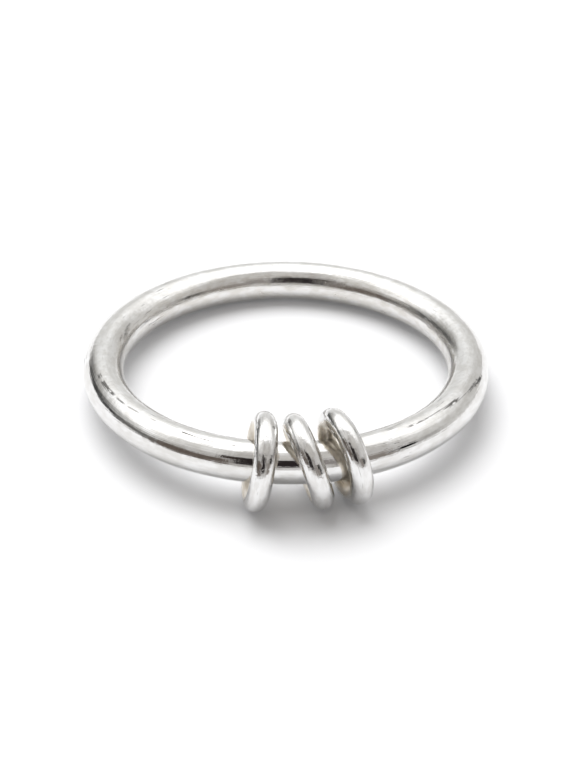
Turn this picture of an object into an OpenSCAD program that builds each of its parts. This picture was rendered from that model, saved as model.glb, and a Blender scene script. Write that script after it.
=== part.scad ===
// Spinner ring: a round-wire band for the finger with three small closed rings loose on it.
// It lies as it is put down: the back of the band rests on the surface, and its front rests
// in the small rings, which stand on the surface and lean. Millimetres, +Z up.

/* [Band] */
// Width of the hole for the finger
finger_d = 17.3; // [14:0.1:22]
// Thickness of the band's round wire
band_wire_d = 2.15; // [1.6:0.05:2.6]

/* [Small rings] */
// Thickness of the small rings' round wire
ring_wire_d = 1.15; // [0.8:0.05:1.6]
// How much wider the hole of a small ring is than the band's wire
hole_play = 0.65; // [0.4:0.05:1.2]

/* [How the small rings lie] */
// Least gap between the band's wire and a small ring
wire_gap = 0.04; // [0.02:0.01:0.08]
// Gap between the left and the middle ring
left_gap = 0.3; // [0.1:0.05:1]
// Gap between the middle and the right ring
right_gap = 0.3; // [0.1:0.05:1]
// Place of the middle ring, in degrees round the band from its front
middle_place = 6.7; // [-20:0.1:20]

/* [Hidden] */
$fn = 96;

// Radius of each wire, and of the circle that its middle follows
band_r = band_wire_d / 2;
ring_r = ring_wire_d / 2;
band_loop = finger_d / 2 + band_r;
ring_loop = (band_wire_d + hole_play) / 2 + ring_r;

// The most that a small ring can tilt on the wire before it binds
most_tilt = acos((band_r + ring_r + wire_gap) / ring_loop);

// How each small ring lies: its turn and its lean, as shares of the most tilt, and how far
// it is pushed outwards on the wire, as a share of half the play
function turn(lie) = lie[0];
function lean(lie) = lie[1];
function push(lie) = lie[2];
LEFT = [0.32, -0.31, 0.4];
MIDDLE = [0.29, 0.5, 0];
RIGHT = [0.19, 0.26, 0.15];

// A circle is a list of its centre, its axis's compass angle and rise, and its radius
function centre(circle) = circle[0];
function compass(circle) = circle[1];
function rise(circle) = circle[2];
function radius(circle) = circle[3];

function axis(circle) = [
    cos(rise(circle)) * cos(compass(circle)),
    cos(rise(circle)) * sin(compass(circle)),
    sin(rise(circle))
];

// Half of the room that a ring of this wire takes along X, Y or Z
function half_extent(circle, wire_r, along) =
    radius(circle) * sqrt(1 - pow(axis(circle)[along], 2)) + wire_r;

function point_on(circle, angle) =
    let (across = [-sin(compass(circle)), cos(compass(circle)), 0])
    centre(circle) + radius(circle) * (cos(angle) * across + sin(angle) * cross(axis(circle), across));

function distance(point, circle) =
    let (out = point - centre(circle), up = out * axis(circle), flat = norm(out - up * axis(circle)))
    norm([up, flat - radius(circle)]);

// Room between two round wires bent to circles, measured at close steps along the first
STEP = 3;
function room(first, first_r, second, second_r) =
    min([for (angle = [0:STEP:360 - STEP]) distance(point_on(first, angle), second)]) - first_r - second_r;

// A small ring stands on the surface at this place round the band
function standing(lie, place) =
    let (
        slope = lean(lie) * most_tilt,
        reach = band_loop + push(lie) * hole_play / 2,
        height = ring_loop * cos(slope) + ring_r
    )
    [[reach * sin(place), -reach * cos(place), height], place + turn(lie) * most_tilt, slope, ring_loop];

// The band lies on its back edge, with the middle of its front wire at this height
function band_lying(front) =
    let (tilt = asin((front - band_r) / (2 * band_loop)))
    [[0, 0, (front + band_r) / 2], 90, 90 - tilt, band_loop];

// The value nearest to the start at which the test holds, found by halving the span
HALVINGS = 16;
function nearest(test, start, end, halvings = HALVINGS) =
    halvings < 1 ? end :
    let (middle = (start + end) / 2)
    test(middle) ? nearest(test, start, middle, halvings - 1) : nearest(test, middle, end, halvings - 1);

// Each outer ring is slid along the wire up to its gap from the middle one
SPAN = 60;
middle_lies = standing(MIDDLE, middle_place);
left_place = nearest(
    function (place) room(standing(LEFT, place), ring_r, middle_lies, ring_r) >= left_gap,
    middle_place, middle_place - SPAN);
right_place = nearest(
    function (place) room(standing(RIGHT, place), ring_r, middle_lies, ring_r) >= right_gap,
    middle_place, middle_place + SPAN);
left_lies = standing(LEFT, left_place);
right_lies = standing(RIGHT, right_place);
small_rings = [left_lies, middle_lies, right_lies];

// The band's front sinks in the small rings until the first of them carries it
lowest_front = ring_wire_d + band_r;
front = nearest(
    function (height)
        min([for (ring = small_rings) room(ring, ring_r, band_lying(height), band_r)]) >= wire_gap,
    lowest_front, lowest_front + hole_play / 2);
band_lies = band_lying(front);

// The origin is on the surface, under the middle of the whole object
back = half_extent(band_lies, band_r, 1);
foremost = min([for (ring = small_rings) centre(ring)[1] - half_extent(ring, ring_r, 1)]);
to_origin = [0, -(back + foremost) / 2, 0];

// One closed ring of round wire, soldered or cast in one piece
module wire_ring(circle, wire_r) {
    translate(centre(circle) + to_origin)
        rotate([0, 90 - rise(circle), compass(circle)])
            rotate_extrude()
                translate([radius(circle), 0])
                    circle(r = wire_r);
}

module band() {
    color("silver") wire_ring(band_lies, band_r);
}

module left_ring() {
    color("gainsboro") wire_ring(left_lies, ring_r);
}

module middle_ring() {
    color("gainsboro") wire_ring(middle_lies, ring_r);
}

module right_ring() {
    color("gainsboro") wire_ring(right_lies, ring_r);
}

band();
left_ring();
middle_ring();
right_ring();
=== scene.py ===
# A spinner ring of polished silver, lying as it is put down on a white surface.
# It follows the ring as it is put together: the band is bent and soldered first, then the
# three small rings that run on it, and last the surface and the soft light round them.
import math

import bpy
import numpy as np
from mathutils import Matrix, Vector


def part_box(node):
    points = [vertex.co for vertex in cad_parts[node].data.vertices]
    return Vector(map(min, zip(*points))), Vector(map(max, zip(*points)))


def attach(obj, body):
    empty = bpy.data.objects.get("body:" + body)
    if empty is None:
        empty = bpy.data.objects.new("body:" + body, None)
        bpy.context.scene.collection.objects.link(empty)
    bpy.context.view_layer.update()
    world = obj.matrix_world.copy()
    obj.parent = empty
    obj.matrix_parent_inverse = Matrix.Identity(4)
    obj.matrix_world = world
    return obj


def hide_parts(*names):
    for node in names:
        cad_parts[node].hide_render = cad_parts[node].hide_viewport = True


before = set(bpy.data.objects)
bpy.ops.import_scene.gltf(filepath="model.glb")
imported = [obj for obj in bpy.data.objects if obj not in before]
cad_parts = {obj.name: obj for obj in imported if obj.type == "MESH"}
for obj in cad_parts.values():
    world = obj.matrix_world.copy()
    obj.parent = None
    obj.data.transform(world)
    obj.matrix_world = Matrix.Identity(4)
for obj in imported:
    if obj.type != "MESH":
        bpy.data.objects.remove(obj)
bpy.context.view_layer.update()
MM = 0.001
scene = bpy.context.scene

# Camera
# It stands in front of the ring, a hand's breadth away, and looks down on it. The aim is the
# point of the surface at the middle of the picture. Places are given by the compass, in degrees
# from the front towards the right, and by the rise, in degrees above the surface.
CAMERA_AIM = Vector((0.121, 1.514, 0)) * MM
CAMERA_AWAY = 121.712 * MM
CAMERA_COMPASS = -0.069
CAMERA_RISE = 34.299
CAMERA_ROLL = 0.380
CAMERA_LENS = 105.395
CAMERA_SENSOR = 36
CAMERA_NEAREST = 1 * MM
CAMERA_FARTHEST = 10


def direction(compass, rise):
    """The way to a place that is given by its compass angle and its rise."""
    compass = math.radians(compass)
    rise = math.radians(rise)
    return Vector((
        math.sin(compass) * math.cos(rise),
        -math.cos(compass) * math.cos(rise),
        math.sin(rise),
    ))


camera = bpy.data.objects.new("camera", bpy.data.cameras.new("camera"))
camera.data.sensor_width = CAMERA_SENSOR
camera.data.lens = CAMERA_LENS
camera.data.clip_start = CAMERA_NEAREST
camera.data.clip_end = CAMERA_FARTHEST
camera_way = direction(CAMERA_COMPASS, CAMERA_RISE)
camera.matrix_world = (
    Matrix.Translation(CAMERA_AIM + CAMERA_AWAY * camera_way)
    @ camera_way.to_track_quat("Z", "Y").to_matrix().to_4x4()
    @ Matrix.Rotation(math.radians(CAMERA_ROLL), 4, "Z")
)
scene.collection.objects.link(camera)
scene.camera = camera

# Band
# A closed ring of round sterling silver wire, about 2.15 mm thick, bent round, soldered shut and
# polished by hand. Drawing the wire left fine lines along it, the buff left it slightly uneven
# and cloudy, and wear has put a few dark nicks on top of it and at its sides.
BAND_SHAPE = {
    "Steps round": 760,
    "Steps across": 112,
    "Wave": 0.05 * MM,
    "Wave size": 3.2 * MM,
    "Dent": 0.008 * MM,
    "Dent size": 0.9 * MM,
    "Seed": 3.0,
}
BAND_POLISH = {
    "bright": (0.81, 0.807, 0.80, 1),
    "warm": (0.70, 0.69, 0.67, 1),
    "mottle": 1.1,
    # Tan on the inner side of the wire: partly tarnish, partly painted reflection of the parts it
    # faces
    "tan": (0.66, 0.62, 0.56, 1),
    "tarnish_and_reflection": 0.4,
    "inside": (-0.45, -0.9),
    "inside rough": 0.5,
    "cloud size": 2.2 * MM,
    "smoothest": 0.03,
    "roughest": 0.09,
    "grain size": 0.25 * MM,
    "grain depth": 0.008 * MM,
    "line width": 0.14 * MM,
    "line length": 5 * MM,
    "line depth": 0.012 * MM,
    "scratch width": 0.06 * MM,
    "scratch length": 1.1 * MM,
    "scratch depth": 0.006 * MM,
    "scratch dark": 0.9,
    "worn size": 2.5 * MM,
    "worn from": 0.56,
    "marks": (
        # start, end, start side, end side, width, depth
        (16, 18, 66, 66, 0.09 * MM, 0.9),
        (20, 29, 67, 70, 0.13 * MM, 1.0),
        (31, 35, 71, 72, 0.09 * MM, 0.9),
        (37, 42, 73, 75, 0.06 * MM, 0.7),
        (44, 50, 75, 76, 0.05 * MM, 0.4),
        (58, 77, 76, 70, 0.09 * MM, 1.0),
        (128, 142, 74, 70, 0.06 * MM, 0.8),
        (142, 155, 70, 60, 0.05 * MM, 1.0),
        (-11, -7, 134, 137, 0.07 * MM, 0.5),
    ),
    "seed": 1.0,
}

# A ring's axis is turned to this side, so that its wear always lands in the same places
AXIS_SIDE = np.array((0.9, 0.1, 1.0))

# A noise runs from 0 to 1. A span says where on it something starts and where it is full.
NOISE_MIDDLE = 0.5
CLOUD_SPAN = (0.3, 0.7)
SHINE_SPAN = (0.35, 0.65)
DASH_SPAN = (0.62, 0.70)
BREAK_SPAN = (0.37, 0.45)
WORN_SPAN = 0.12
TARNISH_AND_REFLECTION_SPAN = 0.3

# Added to a ring's own seed, so that no two of its noises are alike
SEED_STEPS = {
    "grain": 3,
    "drawn": 5,
    "hairs": 7,
    "dashes": 9,
    "worn": 11,
    "breaks": 13,
    "patches": 15,
}

# Patches are longer than the grain is wide. Hairs are finer, shorter and shallower than the
# drawing lines. The breaks in a mark are wider and shorter than the scratches.
PATCH_LONGER = 2.5
HAIR_FINER = 3
HAIR_SHORTER = 2
HAIR_SHALLOWER = 4
BREAK_WIDER = 2
BREAK_SHORTER = 3

# A mark strays to its sides by this many degrees over the whole noise. Across, it fades between
# these shares of its half width, and each end fades over this many degrees either way.
MARK_STRAY = 30.0
MARK_CORE = 0.5
MARK_EDGE = 1.5
MARK_TIP = 1.0
SCRATCH_COLOUR = (0.08, 0.075, 0.07, 1)
SCRATCH_ROUGH = 0.2

# The Mix node's colour sockets share their names with others, so they go by number
MIX_FIRST = 6
MIX_SECOND = 7
MIX_RESULT = 2


def measure(node):
    """Where a ring of round wire lies: its centre, its axis, and the radius of its loop and wire."""
    low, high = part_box(node)
    centre = (low + high) / 2
    out = np.array([v.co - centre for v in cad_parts[node].data.vertices])
    axis = np.linalg.eigh(out.T @ out)[1][:, 0]
    axis *= np.sign(axis @ AXIS_SIDE)
    height = out @ axis
    reach = np.linalg.norm(out - height[:, None] * axis, axis=1)
    loop_radius = (reach.max() + reach.min()) / 2
    wire_radius = (reach.max() - reach.min()) / 2
    return centre, Vector(axis), loop_radius, wire_radius


def put(tree, kind, sockets=(), **settings):
    """Adds a node, with each socket set to a value or joined to another node's output."""
    node = tree.nodes.new(kind)
    for name, value in settings.items():
        setattr(node, name, value)
    for socket, value in dict(sockets).items():
        if isinstance(value, bpy.types.NodeSocket):
            tree.links.new(value, node.inputs[socket])
        else:
            node.inputs[socket].default_value = value
    return node


def maths(tree, operation, *values):
    """The result of a Math node."""
    return put(tree, "ShaderNodeMath", enumerate(values), operation=operation).outputs[0]


def between(tree, value, low, high, to_low=0.0, to_high=1.0, ends="SMOOTHSTEP"):
    """Takes a value from one span to another, with soft ends."""
    return put(tree, "ShaderNodeMapRange", {
        "Value": value,
        "From Min": low,
        "From Max": high,
        "To Min": to_low,
        "To Max": to_high,
    }, interpolation_type=ends).outputs["Result"]


def blend(tree, factor, first, second):
    """The second colour laid over the first."""
    return put(tree, "ShaderNodeMix", {
        "Factor": factor,
        MIX_FIRST: first,
        MIX_SECOND: second,
    }, data_type="RGBA").outputs[MIX_RESULT]


def bent_wire_tree():
    """Round wire bent to a closed loop, with the slight waves and dents of work by hand."""
    tree = bpy.data.node_groups.new("bent_wire", "GeometryNodeTree")
    inputs = {
        "Loop radius": "NodeSocketFloat",
        "Wire radius": "NodeSocketFloat",
        "Steps round": "NodeSocketInt",
        "Steps across": "NodeSocketInt",
        "Wave": "NodeSocketFloat",
        "Wave size": "NodeSocketFloat",
        "Dent": "NodeSocketFloat",
        "Dent size": "NodeSocketFloat",
        "Seed": "NodeSocketFloat",
        "Silver": "NodeSocketMaterial",
    }
    for name, kind in inputs.items():
        tree.interface.new_socket(name, in_out="INPUT", socket_type=kind)
    tree.interface.new_socket("Ring", in_out="OUTPUT", socket_type="NodeSocketGeometry")
    given = put(tree, "NodeGroupInput").outputs
    loop = put(tree, "GeometryNodeCurvePrimitiveCircle", {
        "Resolution": given["Steps round"],
        "Radius": given["Loop radius"],
    })
    section = put(tree, "GeometryNodeCurvePrimitiveCircle", {
        "Resolution": given["Steps across"],
        "Radius": given["Wire radius"],
    })
    swept = put(tree, "GeometryNodeCurveToMesh", {
        "Curve": loop.outputs["Curve"],
        "Profile Curve": section.outputs["Curve"],
    })
    waves = put(tree, "ShaderNodeTexNoise", {
        "W": given["Seed"],
        "Scale": maths(tree, "DIVIDE", 1.0, given["Wave size"]),
        "Detail": 1.0,
    }, noise_dimensions="4D").outputs["Fac"]
    dents = put(tree, "ShaderNodeTexVoronoi", {
        "W": given["Seed"],
        "Scale": maths(tree, "DIVIDE", 1.0, given["Dent size"]),
    }, voronoi_dimensions="4D", feature="SMOOTH_F1").outputs["Distance"]
    rise = maths(tree, "MULTIPLY", maths(tree, "SUBTRACT", waves, NOISE_MIDDLE), given["Wave"])
    dip = maths(tree, "MULTIPLY", maths(tree, "SUBTRACT", dents, NOISE_MIDDLE), given["Dent"])
    push = put(tree, "ShaderNodeVectorMath", {
        0: put(tree, "GeometryNodeInputNormal").outputs["Normal"],
        "Scale": maths(tree, "ADD", rise, dip),
    }, operation="SCALE")
    worked = put(tree, "GeometryNodeSetPosition", {
        "Geometry": swept.outputs["Mesh"],
        "Offset": push.outputs["Vector"],
    })
    smooth = put(tree, "GeometryNodeSetShadeSmooth", {"Geometry": worked.outputs["Geometry"]})
    real = put(tree, "GeometryNodeRealizeInstances", {"Geometry": smooth.outputs["Geometry"]})
    dressed = put(tree, "GeometryNodeSetMaterial", {
        "Geometry": real.outputs["Geometry"],
        "Material": given["Silver"],
    })
    put(tree, "NodeGroupOutput", {"Ring": dressed.outputs["Geometry"]})
    return tree


def polished_silver(name, centre, turned, loop_radius, wire_radius, finish):
    """Silver with drawing lines along the wire, hairline scratches and a slightly cloudy polish."""
    material = bpy.data.materials.new(name)
    material.use_nodes = True
    tree = material.node_tree
    tree.nodes.clear()
    place = put(tree, "ShaderNodeMapping", {
        "Vector": put(tree, "ShaderNodeTexCoord").outputs["Object"],
        "Location": centre,
        "Rotation": turned.to_euler(),
    }, vector_type="TEXTURE").outputs["Vector"]
    apart = put(tree, "ShaderNodeSeparateXYZ", {"Vector": place}).outputs
    x_squared = maths(tree, "MULTIPLY", apart["X"], apart["X"])
    y_squared = maths(tree, "MULTIPLY", apart["Y"], apart["Y"])
    reach = maths(tree, "SQRT", maths(tree, "ADD", x_squared, y_squared))
    along_x = maths(tree, "DIVIDE", apart["X"], reach)
    along_y = maths(tree, "DIVIDE", apart["Y"], reach)
    out = maths(tree, "SUBTRACT", reach, loop_radius)
    turn = maths(tree, "DEGREES", maths(tree, "ARCTAN2", apart["Y"], apart["X"]))
    side = maths(tree, "DEGREES", maths(tree, "ARCTAN2", apart["Z"], out))

    def cloud(size, seed, detail):
        """Even noise in patches of about this size."""
        return put(tree, "ShaderNodeTexNoise", {
            "Vector": place,
            "W": seed,
            "Scale": 1 / size,
            "Detail": detail,
        }, noise_dimensions="4D").outputs["Fac"]

    def lines(width, length, seed, detail):
        """Noise drawn out along the wire, in lines of about this width and length."""
        across = 1 / width
        along = loop_radius / length
        vector = put(tree, "ShaderNodeCombineXYZ", {
            "X": maths(tree, "MULTIPLY", out, across),
            "Y": maths(tree, "MULTIPLY", apart["Z"], across),
            "Z": maths(tree, "MULTIPLY", along_x, along),
        })
        return put(tree, "ShaderNodeTexNoise", {
            "Vector": vector.outputs["Vector"],
            "W": maths(tree, "MULTIPLY_ADD", along_y, along, seed),
            "Scale": 1.0,
            "Detail": detail,
        }, noise_dimensions="4D").outputs["Fac"]

    def mark(start, end, start_side, end_side, width, deep, stray):
        """A scratch between two places, each given in degrees round the loop and round the wire."""
        middle = between(tree, turn, start, end, start_side, end_side, ends="LINEAR")
        off = maths(tree, "ADD", maths(tree, "SUBTRACT", side, middle), stray)
        off = maths(tree, "ABSOLUTE", off)
        half = math.degrees(width / wire_radius) / 2
        across = between(tree, off, half * MARK_CORE, half * MARK_EDGE, deep, 0.0)
        begun = between(tree, turn, start - MARK_TIP, start + MARK_TIP)
        ended = between(tree, turn, end + MARK_TIP, end - MARK_TIP)
        return maths(tree, "MULTIPLY", across, maths(tree, "MULTIPLY", begun, ended))

    def bump(height, depth, under=None):
        """A relief of this depth, laid over another."""
        sockets = {"Height": height, "Distance": depth, "Strength": 1.0}
        if under:
            sockets["Normal"] = under
        return put(tree, "ShaderNodeBump", sockets).outputs["Normal"]

    seeds = {noise: finish["seed"] + step for noise, step in SEED_STEPS.items()}
    grain_size = finish["grain size"]
    line_width = finish["line width"]
    line_length = finish["line length"]
    scratch_width = finish["scratch width"]
    scratch_length = finish["scratch length"]
    haze = cloud(finish["cloud size"], finish["seed"], detail=3.0)
    grain = cloud(grain_size, seeds["grain"], detail=2.0)
    patches = lines(grain_size, grain_size * PATCH_LONGER, seeds["patches"], detail=3.0)
    drawn = lines(line_width, line_length, seeds["drawn"], detail=3.0)
    hairs = lines(line_width / HAIR_FINER, line_length / HAIR_SHORTER, seeds["hairs"], detail=2.0)

    dashes = lines(scratch_width, scratch_length, seeds["dashes"], detail=1.0)
    dashes = between(tree, dashes, *DASH_SPAN)
    worn = cloud(finish["worn size"], seeds["worn"], detail=1.0)
    worn = between(tree, worn, finish["worn from"], finish["worn from"] + WORN_SPAN)
    break_width = scratch_width * BREAK_WIDER
    break_length = scratch_length / BREAK_SHORTER
    broken = lines(break_width, break_length, seeds["breaks"], detail=1.0)
    broken = between(tree, broken, *BREAK_SPAN)
    stray = maths(tree, "MULTIPLY", maths(tree, "SUBTRACT", drawn, NOISE_MIDDLE), MARK_STRAY)
    scratches = maths(tree, "MULTIPLY", dashes, worn)
    for row in finish["marks"]:
        nicks = maths(tree, "MULTIPLY", mark(*row, stray), broken)
        scratches = maths(tree, "MAXIMUM", scratches, nicks)

    # Painted reflection: the inner side of the wire is blended towards tan in patches. This is partly
    # tarnish and partly stands in for the reflections of the band and the neighbouring rings. The same
    # patches are also made rougher.
    inside = between(tree, maths(tree, "DIVIDE", out, wire_radius), *finish["inside"])
    tarnish_and_reflection = between(tree, patches, *CLOUD_SPAN, finish["tarnish_and_reflection"] - TARNISH_AND_REFLECTION_SPAN, finish["tarnish_and_reflection"])
    tarnish_and_reflection_inside = maths(tree, "MULTIPLY", inside, tarnish_and_reflection)
    patchy = maths(tree, "MULTIPLY", maths(tree, "SUBTRACT", patches, NOISE_MIDDLE), finish["mottle"])
    mottled = between(tree, maths(tree, "ADD", haze, patchy), *CLOUD_SPAN)
    darkened = maths(tree, "MULTIPLY", scratches, finish["scratch dark"])
    colour = blend(tree, mottled, finish["bright"], finish["warm"])
    colour = blend(tree, tarnish_and_reflection_inside, colour, finish["tan"])
    colour = blend(tree, darkened, colour, SCRATCH_COLOUR)

    scratch_rough = maths(tree, "MULTIPLY", scratches, SCRATCH_ROUGH)
    inside_rough = maths(tree, "MULTIPLY", tarnish_and_reflection_inside, finish["inside rough"])
    roughness = between(tree, haze, *SHINE_SPAN, finish["smoothest"], finish["roughest"])
    roughness = maths(tree, "ADD", roughness, scratch_rough)
    roughness = maths(tree, "ADD", roughness, inside_rough)

    relief = bump(grain, finish["grain depth"])
    relief = bump(drawn, finish["line depth"], relief)
    relief = bump(hairs, finish["line depth"] / HAIR_SHALLOWER, relief)
    relief = bump(maths(tree, "SUBTRACT", 1.0, scratches), finish["scratch depth"], relief)
    shader = put(tree, "ShaderNodeBsdfPrincipled", {
        "Base Color": colour,
        "Metallic": 1.0,
        "Roughness": roughness,
        "Normal": relief,
    })
    put(tree, "ShaderNodeOutputMaterial", {"Surface": shader.outputs["BSDF"]})
    return material


def make_ring(name, node, body, slot, shape, finish):
    """Makes a ring of round wire where the CAD node lies, in its silver, and puts it on its body."""
    centre, axis, loop_radius, wire_radius = measure(node)
    turned = axis.to_track_quat("Z", "Y").to_matrix()
    silver = polished_silver(slot + "_" + name, centre, turned, loop_radius, wire_radius, finish)
    ring = bpy.data.objects.new(name, bpy.data.meshes.new(name))
    scene.collection.objects.link(ring)
    work = ring.modifiers.new("bent wire", "NODES")
    work.node_group = bent_wire
    values = {"Loop radius": loop_radius, "Wire radius": wire_radius, "Silver": silver, **shape}
    for item in bent_wire.interface.items_tree:
        if item.in_out == "INPUT":
            work[item.identifier] = values[item.name]
    evaluated = ring.evaluated_get(bpy.context.evaluated_depsgraph_get())
    made = bpy.data.meshes.new_from_object(evaluated)
    ring.modifiers.remove(work)
    ring.data = made
    made.name = name
    made.transform(Matrix.Translation(centre) @ turned.to_4x4())
    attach(ring, body)
    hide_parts(node)


bent_wire = bent_wire_tree()
make_ring("round_wire_band", "band", "band", "band_silver", BAND_SHAPE, BAND_POLISH)

# Small rings
# Three closed rings of 1.15 mm round silver wire, threaded on the band before it was soldered.
# They were tumbled rather than buffed, so their shine is softer and more uneven, and their
# insides stayed dull. The warm tan on their insides is partly tarnish and partly painted reflection of
# the band and of the other rings.
SMALL_SHAPE = {
    "Steps round": 260,
    "Steps across": 72,
    "Wave": 0.05 * MM,
    "Wave size": 1.4 * MM,
    "Dent": 0.008 * MM,
    "Dent size": 0.45 * MM,
}
SMALL_POLISH = {
    "bright": (0.80, 0.797, 0.79, 1),
    "warm": (0.71, 0.70, 0.685, 1),
    "mottle": 1.6,
    # Tan on the inner side of the wire: partly tarnish, partly painted reflection of the band and the
    # other rings
    "tan": (0.82, 0.75, 0.64, 1),
    "tarnish_and_reflection": 1.0,
    "inside": (0.3, -0.3),
    "inside rough": 0.34,
    "cloud size": 0.8 * MM,
    "smoothest": 0.06,
    "roughest": 0.14,
    "grain size": 0.25 * MM,
    "grain depth": 0.016 * MM,
    "line width": 0.12 * MM,
    "line length": 1.2 * MM,
    "line depth": 0.014 * MM,
    "scratch width": 0.06 * MM,
    "scratch length": 0.6 * MM,
    "scratch depth": 0.006 * MM,
    "scratch dark": 0.5,
    "worn size": 1 * MM,
    "worn from": 0.5,
    "marks": (),
}
SMALL_SEED = 11
for seed, side in enumerate(("left", "middle", "right"), start=SMALL_SEED):
    shape = {**SMALL_SHAPE, "Seed": float(seed)}
    polish = {**SMALL_POLISH, "seed": float(seed)}
    make_ring(side + "_small_ring", side + "_ring", side + "_ring", "small_ring_silver", shape, polish)

# Surface
# A sheet of milky white acrylic, much wider than the picture. It glows a little from the light
# under it, which keeps the shadows pale.
SURFACE_SIZE = 1.2
ACRYLIC_COLOUR = (0.597, 0.599, 0.607, 1)
ACRYLIC_ROUGH = 0.9
ACRYLIC_GLOW = (0.98, 0.98, 1, 1)
ACRYLIC_GLOW_STRENGTH = 0.09
half_size = SURFACE_SIZE / 2
corners = [
    (-half_size, -half_size, 0),
    (half_size, -half_size, 0),
    (half_size, half_size, 0),
    (-half_size, half_size, 0),
]
surface_mesh = bpy.data.meshes.new("white_surface")
surface_mesh.from_pydata(corners, [], [(0, 1, 2, 3)])
surface = bpy.data.objects.new("white_surface", surface_mesh)
scene.collection.objects.link(surface)
acrylic = bpy.data.materials.new("milky_acrylic")
acrylic.use_nodes = True
acrylic_sockets = acrylic.node_tree.nodes["Principled BSDF"].inputs
acrylic_sockets["Base Color"].default_value = ACRYLIC_COLOUR
acrylic_sockets["Roughness"].default_value = ACRYLIC_ROUGH
acrylic_sockets["Emission Color"].default_value = ACRYLIC_GLOW
acrylic_sockets["Emission Strength"].default_value = ACRYLIC_GLOW_STRENGTH
surface_mesh.materials.append(acrylic)

# Light
# A large soft lamp hangs behind the ring and to its left, over a white tent. The lamp casts the
# shadows, and the tent is what the silver mirrors: its white top, its grey walls, and the dark
# gap in front where the camera looks in. Each patch of the tent is laid over those before it.
LAMP_COMPASS = 211
LAMP_RISE = 62
LAMP_AWAY = 0.6
LAMP_SIZE = 0.77
LAMP_POWER = 4.7
TENT_TOP = (1.5, 1.5, 1.5)
TENT = (
    # compass, rise, half width, half height, soft edge, colour
    (-149, 62, 28, 14, 16, (3.5, 3.5, 3.5)),
    (176, 12, 51, 20, 26, (0.864, 0.864, 0.853)),
    (4, 38, 86, 52, 48, (0.562, 0.545, 0.529)),
    (114, 14, 48, 24, 34, (0.691, 0.68, 0.664)),
    (80, 11, 12, 7, 12, (0.454, 0.443, 0.432)),
    (-102, 14, 51, 15, 22, (0.475, 0.47, 0.454)),
    (-114, 11, 38, 6, 11, (0.27, 0.265, 0.259)),
    (-120, 7, 22, 6, 9, (0.065, 0.065, 0.065)),
    (-85, 11, 20, 6, 9, (0.17, 0.165, 0.16)),
    (-52, 15, 22, 12, 10, (0.145, 0.12, 0.105)),
    (-31, 40, 10, 8, 8, (0.043, 0.032, 0.027)),
    (-8, 31, 19, 18, 7, (0.027, 0.022, 0.022)),
    (43, 13, 16, 13, 8, (0.292, 0.265, 0.243)),
    (23, 30, 6, 14, 8, (0.292, 0.27, 0.259)),
    (67, 14, 7, 7, 4, (0.0, 0.0, 0.0)),
    (135, 12, 1.8, 12, 3, (0.05, 0.05, 0.05)),
    (-72, 58, 26, 12, 23, (0.864, 0.853, 0.832)),
    (32, 64, 46, 12, 20, (0.67, 0.653, 0.626)),
)
HALF_TURN = 180.0


def tent_world():
    """The light that comes from all round, painted by compass and rise."""
    world = bpy.data.worlds.new("tent")
    world.use_nodes = True
    tree = world.node_tree
    tree.nodes.clear()
    way = put(tree, "ShaderNodeTexCoord").outputs["Generated"]
    apart = put(tree, "ShaderNodeSeparateXYZ", {"Vector": way}).outputs
    forward = maths(tree, "MULTIPLY", apart["Y"], -1.0)
    compass = maths(tree, "DEGREES", maths(tree, "ARCTAN2", apart["X"], forward))
    rise = maths(tree, "DEGREES", maths(tree, "ARCSINE", apart["Z"]))
    light = put(tree, "ShaderNodeRGB").outputs[0]
    light.default_value = (*TENT_TOP, 1)
    for at, height, half_wide, half_high, soft, colour in TENT:
        aside = maths(tree, "WRAP", maths(tree, "SUBTRACT", compass, at), HALF_TURN, -HALF_TURN)
        aside = maths(tree, "ABSOLUTE", aside)
        above = maths(tree, "ABSOLUTE", maths(tree, "SUBTRACT", rise, height))
        in_width = between(tree, aside, half_wide + soft / 2, half_wide - soft / 2)
        in_height = between(tree, above, half_high + soft / 2, half_high - soft / 2)
        patch = maths(tree, "MULTIPLY", in_width, in_height)
        light = blend(tree, patch, light, (*colour, 1))
    glow = put(tree, "ShaderNodeBackground", {"Color": light})
    put(tree, "ShaderNodeOutputWorld", {"Surface": glow.outputs["Background"]})
    return world


scene.world = tent_world()
lamp = bpy.data.objects.new("soft_light", bpy.data.lights.new("soft_light", "AREA"))
lamp.data.shape = "DISK"
lamp.data.size = LAMP_SIZE
lamp.data.energy = LAMP_POWER
lamp_way = direction(LAMP_COMPASS, LAMP_RISE)
lamp.location = LAMP_AWAY * lamp_way
lamp.rotation_euler = lamp_way.to_track_quat("Z", "Y").to_euler()
lamp.visible_glossy = False
scene.collection.objects.link(lamp)
scene.view_settings.view_transform = "Standard"
